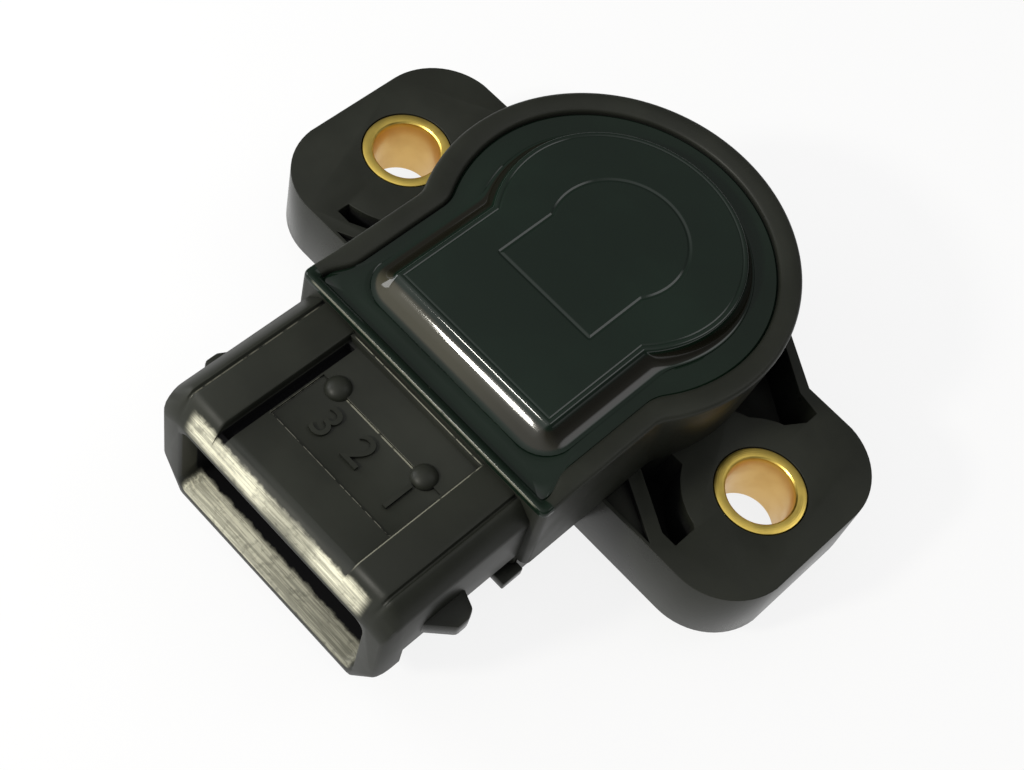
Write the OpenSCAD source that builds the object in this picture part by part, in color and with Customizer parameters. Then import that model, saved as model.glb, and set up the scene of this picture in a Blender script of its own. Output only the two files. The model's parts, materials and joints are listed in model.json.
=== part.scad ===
// Throttle position sensor: moulded body with two ears, a turning wiper over a film element,
// a potted cover and a three-way plug socket. Lengths in millimetres.
// Frame: z = 0 is the mounting face and +Z points away from the throttle body. The rotor turns
// about Z. The two fixing holes lie on the X axis and the plug socket opens towards -Y.

/* [Fixing ears] */
// Distance between the two fixing holes.
hole_pitch = 38; // [37:0.25:44]
// Bore of each brass compression bushing.
bushing_bore_d = 5.2; // [4.4:0.1:5.6]
// Outside diameter of each bushing.
bushing_od = 7.0; // [6.6:0.1:8.5]
// Thickness of the ears, which is also the length of the bushings.
ear_t = 6.0; // [5:0.25:7]
// Hole centre to the outer end of its ear.
ear_end = 5.9; // [5.5:0.1:8]
// Hole line to the ear edge on the socket side.
ear_front = 9.7; // [9.5:0.1:11]
// Hole line to the ear edge on the round side.
ear_back = 9.4; // [9.2:0.1:11]
// Radius of the outer ear corners.
ear_corner_r = 5.4; // [2:0.2:5.6]
// Radius of the solid boss left around each bushing by the cored pockets.
boss_r = 6.0; // [5.6:0.1:6.4]
// Floor left under the cored pockets.
pocket_floor = 1.2; // [0.8:0.1:2]

/* [Body] */
// Height of the rim above the mounting face.
body_h = 13.6; // [13.2:0.1:16]
// Radius of the round end at the rim.
body_r = 14.15; // [13.7:0.05:14.4]
// How far the round end is offset from the rotor axis towards +Y.
key_y = 1.45; // [1:0.05:2]
// Half the width of the straight end at the rim.
body_half_w = 12.0; // [11.8:0.1:12.6]
// Rotor axis to the front wall above the socket.
body_front = 17.4; // [17:0.1:19]
// How much smaller the round end is at the mounting face than at the rim.
wall_draft = 1.2; // [0.4:0.1:1.4]
// How much the straight walls widen from the rim to their lower edge.
side_flare = 0.1; // [0:0.05:0.3]
// Height of the lower edge of the straight walls above the mounting face.
side_edge_z = 5.7; // [4.5:0.1:6]
// Step from the lower edge of the straight walls in to the foot of the body.
side_step = 1.0; // [0.5:0.1:1.2]
// Width of the rim around the potted well.
rim_w = 1.4; // [1.2:0.1:1.6]
// Width of the rim across the front.
rim_front_w = 0.9; // [0.8:0.1:1.2]
// Chamfer on the outer edge of the rim.
rim_chamfer = 0.4; // [0.1:0.1:0.6]
// Relief of the body underside in front of the mounting face.
front_relief = 0.8; // [0.4:0.1:1.2]

/* [Pilot] */
// Diameter of the locating pilot.
pilot_d = 22; // [21.6:0.1:23]
// Edge of the pilot to the journal of the rotor.
journal_inset = 5.0; // [4.9:0.05:5.2]
// Length of the pilot below the mounting face.
pilot_l = 3.2; // [3:0.1:4]
// Thickness of the seal ring section.
o_ring_d = 1.6; // [1.4:0.1:1.8]
// Depth of the seal ring groove.
o_groove_depth = 1.2; // [1:0.05:1.3]

/* [Plug socket] */
// Half the width of the collar.
conn_half_w = 11.2; // [11:0.1:11.6]
// Drop from the rim of the body to the collar top.
conn_drop = 0.7; // [0.5:0.1:1]
// Height of the collar underside above the mounting face.
conn_bottom = 0.6; // [0.2:0.1:1]
// Rotor axis to the mouth of the socket.
conn_front = 30.2; // [29:0.1:34]
// Half the width of the socket opening.
mouth_half_w = 9.1; // [8.8:0.1:9.4]
// Height of the socket floor.
mouth_z0 = 1.9; // [1.7:0.1:2.2]
// Thickness of the collar over the socket.
mouth_roof = 3.1; // [2.9:0.1:3.5]
// Depth of the socket.
mouth_depth = 12.2; // [9.5:0.1:12.4]
// Height of the sloped shoulder along the collar top.
shoulder_h = 1.3; // [1:0.1:1.5]
// Width of the sloped shoulder along the collar top.
shoulder_w = 1.5; // [1:0.1:1.8]
// Half the width of the shallow recess in the collar top.
recess_half_w = 6.3; // [5.8:0.1:6.8]
// Depth of the shallow recess in the collar top.
recess_depth = 0.8; // [0.4:0.1:1]
// Depth of the sunk numbering pad.
pad_depth = 0.2; // [0.1:0.05:0.3]
// Radius of the two domes beside the pad.
dome_r = 1.1; // [0.8:0.1:1.3]
// How far each locking wedge stands out of the collar side.
wedge_out = 1.7; // [1.2:0.1:2]
// Drop from the collar top to the flat top of each locking wedge.
wedge_drop = 4.6; // [4.3:0.1:5.1]
// Thickness of each locking wedge.
wedge_t = 1.5; // [1:0.1:2]

/* [Terminals] */
// Distance between neighbouring terminals.
term_pitch = 5.0; // [4.6:0.1:5.2]
// Width of a terminal blade.
term_w = 2.8; // [2.4:0.1:3]
// Thickness of a terminal blade.
term_t = 0.8; // [0.6:0.05:0.9]
// Distance of the blade tips behind the mouth.
term_back = 4.8; // [4.4:0.1:6]

/* [Element] */
// Thickness of the element board.
board_t = 0.8; // [0.6:0.05:1]
// Depth of the board seat below the rim.
board_depth = 4.8; // [4.6:0.1:5]
// Gap between the board edge and the wall of the well.
board_gap = 0.3; // [0.2:0.05:0.5]
// Thickness of the printed tracks.
track_t = 0.12; // [0.08:0.01:0.16]
// Wall of the rotor chamber to the middle of the resistive track.
track_inset = 2.4; // [2.2:0.1:2.6]
// Distance between the middles of the two tracks.
track_step = 2.4; // [2.3:0.1:2.5]
// Width of each printed track.
track_w = 1.6; // [1.5:0.1:1.8]

/* [Cover] */
// Height of the cover face above the rim.
cover_rise = 0.6; // [0.3:0.1:1]
// Depth of the potting surface below the rim.
resin_drop = 0.4; // [0.2:0.1:0.6]
// Width of the potted band between the cover and the rim on the round end.
resin_w = 1.7; // [1.4:0.1:2]
// Width of the sloped edge of the cover on the round end.
cover_slope_w = 1.2; // [0.8:0.1:1.5]
// Width of the sloped edge of the cover along the straight sides.
cover_side_w = 1.7; // [1.2:0.1:2]
// Width of the sloped edge of the cover along the front.
cover_front_w = 2.0; // [1.5:0.1:2.4]
// Thickness of the cover plate under its face.
cover_t = 2.2; // [1.8:0.1:2.6]

/* [Rotor] */
// Radial running gap between the journal and its bearing bush.
journal_gap = 0.05; // [0.03:0.01:0.08]
// Wall of the bearing bush.
bush_wall = 1.4; // [1.2:0.1:1.5]
// Radial gap between the rotor flange and the wall of its chamber.
flange_gap = 0.4; // [0.3:0.05:0.5]
// Thickness of the rotor flange.
flange_t = 1.2; // [1:0.1:1.4]
// Edge of the pilot to the wall of the rotor chamber.
chamber_inset = 0.6; // [0.5:0.05:0.7]
// Wall of the journal round the drive socket.
drive_wall = 2.4; // [2.2:0.1:2.6]
// Depth of the flat of the drive socket.
flat_depth = 1.0; // [0.8:0.1:1.2]
// Full travel of the rotor in degrees.
travel = 100; // [80:1:110]
// Wire diameter of the return spring.
spring_wire_d = 0.9; // [0.8:0.05:0.95]

/* [Hidden] */
$fn = 72;
eps = 0.01;

hole_x = hole_pitch / 2;
ear_x = hole_x + ear_end;
bushing_r = bushing_od / 2;

well_r = body_r - rim_w;
well_half_w = body_half_w - rim_w + 0.3;
well_front = body_front - rim_front_w;
well_corner_r = 1.0;
resin_top = body_h - resin_drop;
cover_top = body_h + cover_rise;
cover_r = well_r - resin_w;
cover_half_w = well_half_w - resin_w;
cover_front = well_front - 1.4;
cover_corner_r = 1.6;
skirt_w = 1.1;

board_z = body_h - board_depth;
conn_top = body_h - conn_drop;
mouth_z1 = conn_top - mouth_roof;
wedge_z = conn_top - wedge_drop;
board_r = well_r - board_gap;
board_half_w = well_half_w - board_gap;
board_top = board_z + board_t;

leg_y1 = -(cover_front - skirt_w - 0.3);
leg_y0 = leg_y1 + term_t;
board_front = well_front - board_gap;
slot_gap = 0.2;
leg_top = board_top + 1.1;
term_z = (mouth_z0 + mouth_z1) / 2;
tip_y = -(conn_front - term_back);
wall_y = -(conn_front - mouth_depth);
tip_lead = 0.8;

pilot_r = pilot_d / 2;
chamber_r = pilot_r - chamber_inset;
flange_r = chamber_r - flange_gap;
track_r_out = chamber_r - track_inset;
track_r_in = track_r_out - track_step;
o_groove_r = pilot_r - o_groove_depth;
o_groove_w = o_ring_d + 0.2;
o_z = -pilot_l / 2;
o_ring_r = o_groove_r + o_ring_d / 2;

journal_r = pilot_r - journal_inset;
drive_r = journal_r - drive_wall;
drive_flat = drive_r - flat_depth;
bush_in_r = journal_r + journal_gap;
bush_out_r = bush_in_r + bush_wall;
bush_z0 = -1.4;
bush_z1 = 3.6;
spring_floor = 1.6;
thrust_boss_r = bush_out_r + 0.65;
washer_t = 0.4;
washer_r = thrust_boss_r - 0.2;
axial_gap = 0.05;
flange_z = bush_z1 + washer_t + axial_gap;
flange_top = flange_z + flange_t;
hub_top = board_z - 0.6;
journal_z0 = -pilot_l + 0.2;
drive_top = 3.4;
ring_t = 0.6;
ring_z1 = bush_z0 - axial_gap;
ring_z0 = ring_z1 - ring_t;
ring_groove_r = journal_r - 0.5;
ring_out_r = journal_r + 1.0;
seal_z1 = ring_z0 - 0.25;
seal_r = pilot_r - 2.7;
recess_r = seal_r;

stop_half_a = 8;
stop_in_r = flange_r - 1.1;
stop_gap_a = 1.5;
notch_r = stop_in_r - 0.2;
stop_mid_a = -90;
spring_r = (thrust_boss_r + chamber_r) / 2;
spring_pitch = spring_wire_d * 0.95;
spring_z0 = spring_floor + spring_wire_d / 2;
spring_fix_a = 20;
spring_drive_a = 150;
spring_pin_r = spring_wire_d / 2;
clip_t = 0.25;
clip_w = 2.0;

wiper_t = 0.25;
wiper_half_w = 3.6;
arm_tip_gap = 0.02;
arm_w = 0.4;
arm_pitch = 0.5;
arm_len = 4.6;
arm_half_w = arm_pitch + arm_w / 2;
wiper_in_y = arm_y(track_r_in) - arm_half_w - 0.2;
wiper_out_y = arm_y(track_r_out) + arm_half_w + 0.2;
hub_r = wiper_in_y - 0.3;
post_r = 0.5;
post_x = 2.8;
post_y = (arm_y(track_r_in) + arm_y(track_r_out)) / 2;

// A wiper arm lies so far from the axis that its tip meets the middle of its track
function arm_y(r) = sqrt(r * r - arm_len * arm_len / 4);

// Plan shapes

module key_plan(r, half_w, front, corner) {
    translate([0, key_y]) circle(r);
    hull() {
        translate([-half_w + corner, -front + corner]) circle(corner, $fn = 24);
        translate([half_w - corner, -front + corner]) circle(corner, $fn = 24);
        translate([-half_w, -1]) square([2 * half_w, 1]);
    }
}

// The thin outer wall of the back pocket runs from the ear into the round end of the body
web_corner = [hole_x - 8, ear_back + 2.9];
web_r = body_r - wall_draft - 0.4;
web_d = norm([web_corner[0], web_corner[1] - key_y]);
web_a = atan2(web_corner[1] - key_y, web_corner[0]) + acos(web_r / web_d);
web_touch = [web_r * cos(web_a), key_y + web_r * sin(web_a)];

module ear_plan() {
    hull() {
        translate([ear_x - ear_corner_r, ear_back - ear_corner_r]) circle(ear_corner_r);
        translate([ear_x - ear_corner_r, -ear_front + ear_corner_r]) circle(ear_corner_r);
        translate([0, -ear_front]) square([1, ear_front + ear_back]);
    }
    polygon([[hole_x - 3.3, ear_back], web_corner, web_touch, [0, 0], [hole_x - 3.3, 0]]);
}

pocket_x = body_half_w - 3;
rib_x = body_half_w - 1;
rib_y = -ear_front + 4.6;
rib_w = 1.2;

module pocket_back_plan() {
    difference() {
        polygon([[hole_x - 1.5, ear_back - 1.2], [hole_x - 1.5, ear_back - 2.4], [hole_x - 3, 3],
            [pocket_x, 3], [pocket_x, ear_back + 2.5], [hole_x - 3.5, ear_back - 1]]);
        translate([hole_x, 0]) circle(boss_r);
    }
}

module pocket_front_plan() {
    difference() {
        polygon([[hole_x - 1.1, -ear_front + 3.7], [hole_x - 1.1, -ear_front + 1.6],
            [hole_x - 2.4, -ear_front + 1.6], [rib_x, rib_y], [pocket_x, rib_y], [pocket_x, -3],
            [hole_x - 5, -3]]);
        translate([hole_x, 0]) circle(boss_r);
    }
}

module facet_plan() {
    polygon([[pocket_x, rib_y - rib_w], [rib_x, rib_y - rib_w],
        [hole_x - 2.4, -ear_front + 0.3], [pocket_x, -ear_front + 0.3]]);
}

// One ear with its two cored pockets, on the +X side

module ear() {
    difference() {
        linear_extrude(ear_t) ear_plan();
        translate([0, 0, pocket_floor]) linear_extrude(ear_t) pocket_back_plan();
        translate([0, 0, pocket_floor]) linear_extrude(ear_t) pocket_front_plan();
        translate([0, 0, ear_t - 0.6]) linear_extrude(ear_t) facet_plan();
    }
}

// Solid outside form of the keyhole body

module body_solid() {
    body_neck = body_h - rim_chamfer;
    low_w = body_half_w + side_flare - side_step;
    edge_w = body_half_w + side_flare;
    low_r = body_r - wall_draft;
    translate([0, key_y, 0]) cylinder(h = body_neck, r1 = low_r, r2 = body_r);
    translate([0, key_y, body_neck])
        cylinder(h = rim_chamfer, r1 = body_r, r2 = body_r - rim_chamfer);
    rotate([90, 0, 0]) linear_extrude(body_front) polygon([[-low_w, front_relief],
        [low_w, front_relief], [low_w, side_edge_z], [edge_w, side_edge_z],
        [body_half_w, body_neck], [body_half_w - rim_chamfer, body_h],
        [-body_half_w + rim_chamfer, body_h], [-body_half_w, body_neck],
        [-edge_w, side_edge_z], [-low_w, side_edge_z]]);
}

// Outside form of the collar, with the sloped shoulders and the rounded mouth

module collar_solid() {
    y1 = 10;
    top_w = conn_half_w - shoulder_w;
    foot_w = 1.9;
    foot_h = 3.4;
    intersection() {
        translate([0, -y1, 0]) rotate([90, 0, 0]) linear_extrude(conn_front - y1)
            polygon([[-conn_half_w + foot_w, conn_bottom], [conn_half_w - foot_w, conn_bottom],
                [conn_half_w, conn_bottom + foot_h], [conn_half_w, conn_top - shoulder_h],
                [top_w, conn_top], [-top_w, conn_top], [-conn_half_w, conn_top - shoulder_h],
                [-conn_half_w, conn_bottom + foot_h]]);
        rotate([90, 0, 90]) translate([0, 0, -conn_half_w]) linear_extrude(2 * conn_half_w)
            polygon([[-y1, conn_bottom], [-conn_front + 0.4, conn_bottom],
                [-conn_front, conn_bottom + 0.4], [-conn_front, mouth_z1 + 0.3],
                [-conn_front + 0.3, conn_top - 1.5], [-conn_front + 0.8, conn_top - 0.6],
                [-conn_front + 1.5, conn_top], [-y1, conn_top]]);
    }
}

module collar_side_relief() {
    step_z = 6.2;
    step_w = 0.9;
    lip_l = 2.2;
    depth_y = conn_front - lip_l - body_front;
    for (s = [-1, 1])
        translate([s * (conn_half_w - step_w / 2 + 1), -conn_front + lip_l + depth_y / 2,
            step_z / 2])
            cube([step_w + 2, depth_y, step_z], center = true);
}

// Small stub in front of each lower corner of the body

module corner_stubs() {
    stub_z = 4.1;
    stub_t = 0.9;
    stub_l = 1.35;
    stub_in = 1.6;
    for (s = [0, 1]) mirror([s, 0, 0])
        translate([body_half_w - 0.2 - stub_in, -body_front - stub_l, stub_z - stub_t])
            cube([stub_in, stub_l + 0.6, stub_t]);
}

module wedges() {
    wedge_y = -conn_front + 5.5;
    for (s = [0, 1]) mirror([s, 0, 0]) translate([conn_half_w, wedge_y, wedge_z - wedge_t])
        linear_extrude(wedge_t) polygon([[-1, 2.1], [0, 1.9], [wedge_out * 0.75, 1.5],
            [wedge_out, 0.9], [wedge_out, 0], [0, -1.9], [-1, -1.9]]);
}

module collar_recess() {
    recess_z = conn_top - recess_depth;
    pad_x0 = -recess_half_w + 0.9;
    pad_y0 = -conn_front + 4.4;
    pad_y1 = pad_y0 + 4.4;
    difference() {
        union() {
            translate([-recess_half_w, -conn_front - 1, recess_z])
                cube([2 * recess_half_w, conn_front + 1 - body_front, recess_depth + 1]);
            translate([pad_x0, pad_y0, recess_z - pad_depth])
                cube([recess_half_w - pad_x0, pad_y1 - pad_y0, pad_depth + 0.5]);
        }
        for (x = [pad_x0 + 1.5, recess_half_w - 1.7])
            translate([x, pad_y1 + 0.1, recess_z - 0.1]) intersection() {
                sphere(dome_r, $fn = 28);
                translate([-dome_r, -dome_r, 0]) cube([2 * dome_r, 2 * dome_r, dome_r * 0.55]);
            }
    }
    for (s = [0, 1]) mirror([s, 0, 0])
        translate([conn_half_w - shoulder_w - 0.1, -conn_front + 2, conn_top - 0.25])
            cube([0.3, conn_front - 2 - body_front, 1]);
}

module socket_cavity() {
    r = 1.2;
    translate([0, wall_y, 0]) rotate([90, 0, 0]) linear_extrude(mouth_depth + 1) hull()
        for (x = [-mouth_half_w + r, mouth_half_w - r], z = [mouth_z0 + r, mouth_z1 - r])
            translate([x, z]) circle(r, $fn = 24);
    translate([0, -conn_front + 1.1, 0]) rotate([90, 0, 0]) linear_extrude(2)
        translate([-mouth_half_w + r, conn_bottom + 0.7])
            square([2 * mouth_half_w - 2 * r, mouth_z0]);
}

// Stop lug on the chamber wall

module sector(r, half_a) {
    polygon([[0, 0], [r * cos(half_a) * 1.2, -r * sin(half_a) * 1.2],
        [r * 1.3, 0], [r * cos(half_a) * 1.2, r * sin(half_a) * 1.2]]);
}

module stop_lug() {
    rotate([0, 0, stop_mid_a]) translate([0, 0, spring_floor + 2.2])
        linear_extrude(board_z - spring_floor - 3.2)
        difference() {
            intersection() {
                circle(chamber_r + 0.4);
                sector(chamber_r, stop_half_a);
            }
            circle(stop_in_r);
        }
}

module housing() {
    color([0.17, 0.17, 0.16]) difference() {
        union() {
            difference() {
                union() {
                    ear();
                    mirror([1, 0, 0]) ear();
                    body_solid();
                    collar_solid();
                    wedges();
                    translate([0, 0, -pilot_l]) cylinder(h = pilot_l + 1, r = pilot_r);
                }
                collar_side_relief();
                collar_recess();
                socket_cavity();
                translate([0, 0, board_z]) linear_extrude(body_h)
                    key_plan(well_r, well_half_w, well_front, well_corner_r);
                difference() {
                    translate([0, 0, spring_floor]) cylinder(h = board_z, r = chamber_r);
                    cylinder(h = bush_z1, r = thrust_boss_r);
                }
                translate([0, 0, bush_z0 - 5]) cylinder(h = 20, r = bush_out_r);
                translate([0, 0, bush_z0 - 5]) cylinder(h = 5, r = recess_r);
                translate([0, 0, o_z - o_groove_w / 2]) difference() {
                    cylinder(h = o_groove_w, r = pilot_r + 1);
                    translate([0, 0, -1]) cylinder(h = o_groove_w + 2, r = o_groove_r);
                }
                rotate([0, 0, spring_fix_a]) translate([spring_r, 0, spring_floor - 0.9])
                    cylinder(h = 2, r = spring_pin_r, $fn = 20);
            }
            stop_lug();
            corner_stubs();
        }
        for (s = [-1, 1]) translate([s * hole_x, 0, -1])
            cylinder(h = ear_t + 2, r = bushing_r);
        for (i = [-1, 0, 1]) translate([i * term_pitch, 0, 0]) terminal_solid();
    }
}

module bushing() {
    color([0.80, 0.66, 0.28]) difference() {
        cylinder(h = ear_t, r = bushing_r);
        translate([0, 0, -1]) cylinder(h = ear_t + 2, r = bushing_bore_d / 2);
    }
}

module bushing_left() {
    translate([-hole_x, 0, 0]) bushing();
}

module bushing_right() {
    translate([hole_x, 0, 0]) bushing();
}

module bearing_bush() {
    color([0.70, 0.50, 0.28]) translate([0, 0, bush_z0]) difference() {
        cylinder(h = bush_z1 - bush_z0, r = bush_out_r);
        translate([0, 0, -1]) cylinder(h = bush_z1 - bush_z0 + 2, r = bush_in_r);
    }
}

module pilot_ring() {
    color([0.12, 0.12, 0.12]) translate([0, 0, o_z]) rotate_extrude()
        translate([o_ring_r, 0]) circle(o_ring_d / 2, $fn = 20);
}

module rotor_seal() {
    color([0.14, 0.14, 0.15]) rotate_extrude() polygon([[seal_r, -pilot_l + 0.1],
        [seal_r, seal_z1], [journal_r + 0.6, seal_z1], [journal_r + 0.03, seal_z1 - 0.3],
        [journal_r + 0.03, seal_z1 - 0.5], [journal_r + 0.9, -pilot_l + 0.1]]);
}

// Element board, its tracks and the connections

module element_board() {
    color([0.86, 0.83, 0.74]) translate([0, 0, board_z]) linear_extrude(board_t) difference() {
        key_plan(board_r, board_half_w, board_front, 0.8);
        for (i = [-1, 0, 1])
            translate([i * term_pitch - term_w / 2 - slot_gap, leg_y1 - slot_gap])
                square([term_w + 2 * slot_gap, term_t + 2 * slot_gap]);
    }
}

module track(r) {
    translate([0, 0, board_z - track_t]) rotate([0, 0, 90 - travel / 2 - 18])
        rotate_extrude(angle = travel + 36)
        translate([r - track_w / 2, 0]) square([track_w, track_t]);
}

module resistive_track() {
    color([0.10, 0.10, 0.11]) track(track_r_out);
}

module collector_track() {
    color([0.75, 0.74, 0.70]) track(track_r_in);
}

module terminal_solid() {
    z0 = term_z - term_t / 2;
    rotate([90, 0, 90]) translate([0, 0, -term_w / 2]) linear_extrude(term_w)
        polygon([[leg_y0, z0], [leg_y0, leg_top], [leg_y1, leg_top], [leg_y1, z0 + term_t],
            [tip_y + tip_lead, z0 + term_t], [tip_y, z0 + term_t * 0.75],
            [tip_y, z0 + term_t * 0.25], [tip_y + tip_lead, z0]]);
}

module terminal(i) {
    color([0.76, 0.75, 0.70]) translate([i * term_pitch, 0, 0]) terminal_solid();
}

module terminal_1() {
    terminal(1);
}

module terminal_2() {
    terminal(0);
}

module terminal_3() {
    terminal(-1);
}

module clip(i) {
    color([0.82, 0.70, 0.42]) translate([i * term_pitch - clip_w / 2, 0, 0])
        rotate([90, 0, 90]) linear_extrude(clip_w)
        polygon([[leg_y0, board_top], [leg_y0 + 2.4, board_top], [leg_y0 + 2.4, board_top + clip_t],
            [leg_y0 + clip_t, board_top + clip_t], [leg_y0 + clip_t, leg_top],
            [leg_y0, leg_top]]);
}

module clip_1() {
    clip(1);
}

module clip_2() {
    clip(0);
}

module clip_3() {
    clip(-1);
}

// Cover with its sloped edge, and the resin poured around it

module cover_outside() {
    slope_h = cover_top - resin_top;
    top_r = cover_r - cover_slope_w;
    top_w = cover_half_w - cover_side_w;
    top_front = cover_front - cover_front_w;
    translate([0, 0, board_top]) linear_extrude(resin_top - board_top)
        key_plan(cover_r, cover_half_w, cover_front, cover_corner_r);
    translate([0, key_y, resin_top - eps]) cylinder(h = slope_h, r1 = cover_r, r2 = top_r);
    intersection() {
        translate([0, -2, 0]) rotate([90, 0, 0]) linear_extrude(cover_front)
            polygon([[-cover_half_w, resin_top - eps], [cover_half_w, resin_top - eps],
                [top_w, cover_top], [-top_w, cover_top]]);
        rotate([90, 0, 90]) translate([0, 0, -cover_half_w]) linear_extrude(2 * cover_half_w)
            polygon([[-cover_front + 0.3, resin_top - eps], [0, resin_top - eps],
                [0, cover_top], [-top_front, cover_top]]);
    }
}

module cover() {
    color([0.13, 0.17, 0.15]) difference() {
        cover_outside();
        translate([0, 0, board_top - 1]) linear_extrude(cover_top - cover_t - board_top + 1)
            key_plan(cover_r - skirt_w, cover_half_w - skirt_w, cover_front - skirt_w, 0.6);
    }
}

module potting_resin() {
    color([0.10, 0.15, 0.13]) translate([0, 0, board_top])
        linear_extrude(resin_top - board_top) difference() {
            key_plan(well_r, well_half_w, well_front, well_corner_r);
            key_plan(cover_r, cover_half_w, cover_front, cover_corner_r);
        }
}

// Turning pieces

module drive_bore() {
    translate([0, 0, journal_z0 - 1]) linear_extrude(drive_top - journal_z0 + 1)
        intersection() {
            circle(drive_r);
            translate([-2 * drive_r, -2 * drive_r]) square([4 * drive_r, 2 * drive_r + drive_flat]);
        }
}

module rotor() {
    color([0.80, 0.78, 0.70]) difference() {
        union() {
            translate([0, 0, journal_z0]) cylinder(h = flange_z - journal_z0 + eps, r = journal_r);
            translate([0, 0, flange_z]) cylinder(h = flange_t, r = flange_r);
            translate([0, 0, flange_top - eps]) cylinder(h = hub_top - flange_top, r = hub_r);
            for (x = [-post_x, post_x]) translate([x, post_y, flange_top - eps])
                cylinder(h = wiper_t + 0.4, r = post_r, $fn = 24);
        }
        drive_bore();
        translate([0, 0, ring_z0 - 0.02]) difference() {
            cylinder(h = ring_t + 0.04, r = journal_r + 1);
            translate([0, 0, -1]) cylinder(h = ring_t + 3, r = ring_groove_r);
        }
        translate([0, 0, flange_z - 1]) linear_extrude(flange_t + 2) difference() {
            intersection() {
                circle(flange_r + 1);
                notch_plan();
            }
            circle(notch_r);
        }
        rotate([0, 0, spring_drive_a]) translate([spring_r, 0, flange_z - 1])
            cylinder(h = flange_t + 2, r = spring_pin_r + 0.02, $fn = 20);
    }
}

// Notch in the flange edge: the stop lug stands at one end of it when the rotor is at rest

module notch_plan() {
    a0 = stop_mid_a - stop_half_a - stop_gap_a - travel;
    a1 = stop_mid_a + stop_half_a + stop_gap_a;
    steps = 8;
    far = (flange_r + 1) * 1.1;
    polygon(concat([[0, 0]], [for (i = [0:steps]) let (a = a0 + (a1 - a0) * i / steps)
        [far * cos(a), far * sin(a)]]));
}

module drive_clip() {
    clip_h = 5.2;
    leaf_t = 0.3;
    leaf_w = drive_r * 1.1;
    color([0.72, 0.73, 0.74])
        translate([-leaf_w / 2, drive_flat - leaf_t, drive_top - clip_h])
        cube([leaf_w, leaf_t, clip_h]);
}

module wiper_arm(r) {
    rise = board_z - track_t - arm_tip_gap - flange_top;
    for (k = [-1, 0, 1])
        translate([-arm_len / 2, arm_y(r) + k * arm_pitch + arm_w / 2, flange_top])
        rotate([90, 0, 0]) linear_extrude(arm_w)
        polygon([[0, 0], [0.9, 0], [arm_len - 0.3, rise - 0.3], [arm_len, rise],
            [arm_len - 0.5, rise], [0.6, wiper_t], [0, wiper_t]]);
}

module wiper() {
    color([0.84, 0.72, 0.40]) union() {
        translate([0, 0, flange_top]) linear_extrude(wiper_t) difference() {
            translate([-wiper_half_w, wiper_in_y])
                square([2 * wiper_half_w, wiper_out_y - wiper_in_y]);
            for (x = [-post_x, post_x]) translate([x, post_y]) circle(post_r, $fn = 24);
        }
        wiper_arm(track_r_out);
        wiper_arm(track_r_in);
    }
}

module thrust_washer() {
    color([0.90, 0.89, 0.85]) translate([0, 0, bush_z1]) difference() {
        cylinder(h = washer_t, r = washer_r);
        translate([0, 0, -1]) cylinder(h = washer_t + 2, r = journal_r + 0.05);
    }
}

module snap_ring() {
    color([0.55, 0.56, 0.58]) translate([0, 0, ring_z0]) linear_extrude(ring_t) difference() {
        circle(ring_out_r);
        circle(ring_groove_r);
        translate([-1, 0]) square([2, ring_out_r + 1]);
    }
}

module return_spring() {
    color([0.62, 0.63, 0.64]) union() {
        for (k = [0, 1]) translate([0, 0, spring_z0 + k * spring_pitch]) rotate_extrude()
            translate([spring_r, 0]) circle(spring_wire_d / 2, $fn = 16);
        rotate([0, 0, spring_fix_a]) translate([spring_r, 0, spring_floor - 0.9])
            cylinder(h = 0.9 + spring_wire_d / 2, r = spring_pin_r, $fn = 20);
        rotate([0, 0, spring_drive_a])
            translate([spring_r, 0, spring_z0 + spring_pitch])
            cylinder(h = flange_z + 0.9 - spring_z0 - spring_pitch, r = spring_pin_r, $fn = 20);
    }
}

housing();
bushing_left();
bushing_right();
bearing_bush();
pilot_ring();
rotor_seal();
element_board();
resistive_track();
collector_track();
terminal_1();
terminal_2();
terminal_3();
clip_1();
clip_2();
clip_3();
cover();
potting_resin();
rotor();
drive_clip();
wiper();
thrust_washer();
snap_ring();
return_spring();
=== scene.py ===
"""Throttle position sensor: the moulded body, its ears and plug collar, the potted cover and the
brass bushings are dressed round the fixed frame. Tables and outlines are in millimetres in the
frame's own axes, and meshes are in metres."""

import json
from math import atan2, cos, pi, radians, sin, sqrt

import bmesh
import bpy
from bpy.props import FloatProperty, FloatVectorProperty, PointerProperty
from mathutils import Matrix, Vector


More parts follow.
